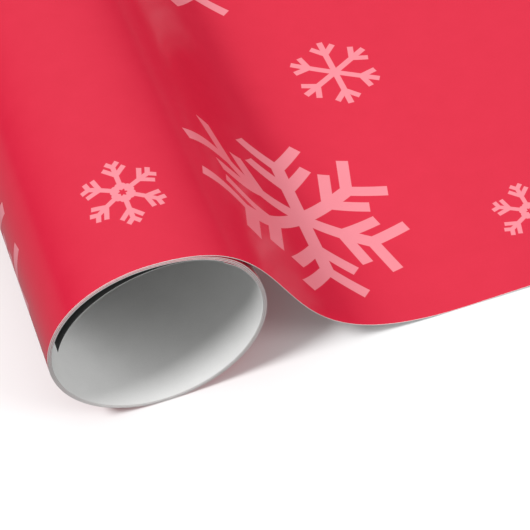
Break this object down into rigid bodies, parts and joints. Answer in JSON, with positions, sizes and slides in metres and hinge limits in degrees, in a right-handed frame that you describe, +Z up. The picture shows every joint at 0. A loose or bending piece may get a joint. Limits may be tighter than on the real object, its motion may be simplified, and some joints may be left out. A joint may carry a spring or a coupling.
{
  "type": "wrapping paper roll",
  "caption": "Coreless roll of gift wrapping paper lying on a table, its outer end drawn off the top, down a curve and out flat to one side.",
  "frame": {"origin": "centre of the underside of the whole object's box, on the table", "axes": "+Z up, +Y along the roll, +X the way the paper is drawn off"},
  "size_m": [0.5526, 0.762, 0.0512],
  "materials": {
    "printed_paper": "coated paper with a satin red print outside and plain white inside",
    "plain_paper": "plain white coated paper, no print"
  },
  "bodies": {
    "drawn_paper": {"crest": "printed_paper", "ramp": "printed_paper", "drawn_sheet": "printed_paper"},
    "coil": {"turn_1": "printed_paper", "turn_2": "printed_paper", "turn_3": "printed_paper", "turn_4": "printed_paper", "turn_5": "printed_paper", "turn_6": "printed_paper", "turn_7": "printed_paper", "turn_8": "printed_paper"},
    "loose_layer": {"inner_leaf": "plain_paper"},
    "lead": {"lead_end": "printed_paper"}
  },
  "joints": [
    {"name": "sheet_pull", "type": "slide", "parent": "drawn_paper", "child": "lead", "axis": [1, 0, 0], "range_m": [0, 0.1596]},
    {"name": "roll_turn", "type": "hinge", "parent": "drawn_paper", "child": "coil", "pos_m": [-0.25094, 0, 0.0254], "axis": [0, 1, 0], "range_deg": [0, 360.02]},
    {"name": "leaf_flex", "type": "hinge", "parent": "coil", "child": "loose_layer", "pos_m": [-0.23494, 0, 0.04317], "axis": [0, 1, 0], "range_deg": [-15, 2.5], "stiffness_Nm_per_rad": 0.05}
  ],
  "couplings": [
    {"joint": "roll_turn", "follows": "sheet_pull", "rad_per_m": 39.37}
  ]
}
